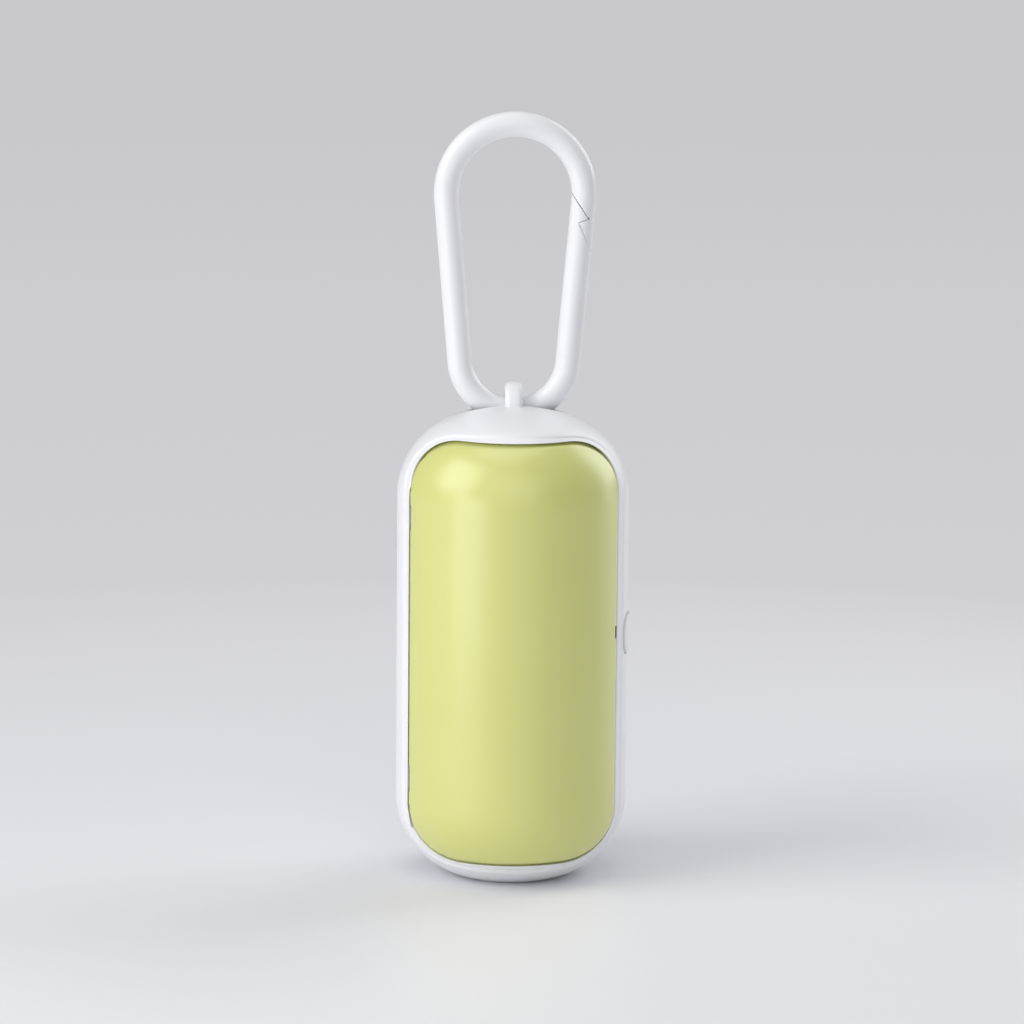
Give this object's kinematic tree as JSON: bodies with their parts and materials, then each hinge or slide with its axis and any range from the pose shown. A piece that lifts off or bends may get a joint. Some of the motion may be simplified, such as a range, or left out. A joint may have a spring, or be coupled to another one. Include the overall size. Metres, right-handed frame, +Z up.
{
  "type": "waste bag dispenser",
  "caption": "Upright capsule dispenser for rolls of waste bags, with a hinged front cover, push-button latch and a clip through an eye on its dome.",
  "frame": {"origin": "centre of the foot, on the surface it stands on", "axes": "+Z up along the case's axis, -Y out through the front cover, +X towards the push button"},
  "size_m": [0.0424, 0.0418, 0.1389],
  "materials": {
    "white_case": "satin moulded",
    "yellow_cover": "satin moulded",
    "steel": "drawn wire",
    "soft_ring": "matt",
    "spindle": "matt moulded",
    "card": "plain",
    "bags": "thin film, wound",
    "white_clip": "satin moulded"
  },
  "bodies": {
    "case": {"rear_shell": "white_case", "front_frame": "white_case", "upper_hinge_pin": "steel", "lower_hinge_pin": "steel", "button_spring": "steel", "outlet_ring": "soft_ring", "bag_strip": "bags"},
    "cover": {"front_cover": "yellow_cover"},
    "button": {"release_button": "white_case"},
    "roll": {"spindle_shaft": "spindle", "lower_disc": "spindle", "upper_disc": "spindle", "roll_core": "card", "bag_roll": "bags"},
    "clip": {"clip_body": "white_clip"},
    "gate": {"clip_gate": "white_clip"}
  },
  "joints": [
    {"name": "cover_hinge", "type": "hinge", "parent": "case", "child": "cover", "pos_m": [-0.0176, -0.00887, 0.043], "axis": [0, 0, -1], "range_deg": [0, 70]},
    {"name": "button_slide", "type": "slide", "parent": "case", "child": "button", "axis": [-1, 0, 0], "range_m": [0, 0.0008], "stiffness_N_per_m": 300, "deforming": ["button_spring"]},
    {"name": "roll_spin", "type": "hinge", "parent": "case", "child": "roll", "pos_m": [0, 0, 0.043], "axis": [0, 0, 1], "continuous": true},
    {"name": "clip_swing", "type": "hinge", "parent": "case", "child": "clip", "pos_m": [0, 0.0034, 0.0846], "axis": [1, 0, 0], "range_deg": [-30, 30]},
    {"name": "gate_flex", "type": "hinge", "parent": "clip", "child": "gate", "pos_m": [0.01004, 0.0034, 0.09673], "axis": [0, -1, 0], "range_deg": [0, 16], "stiffness_Nm_per_rad": 0.3}
  ]
}
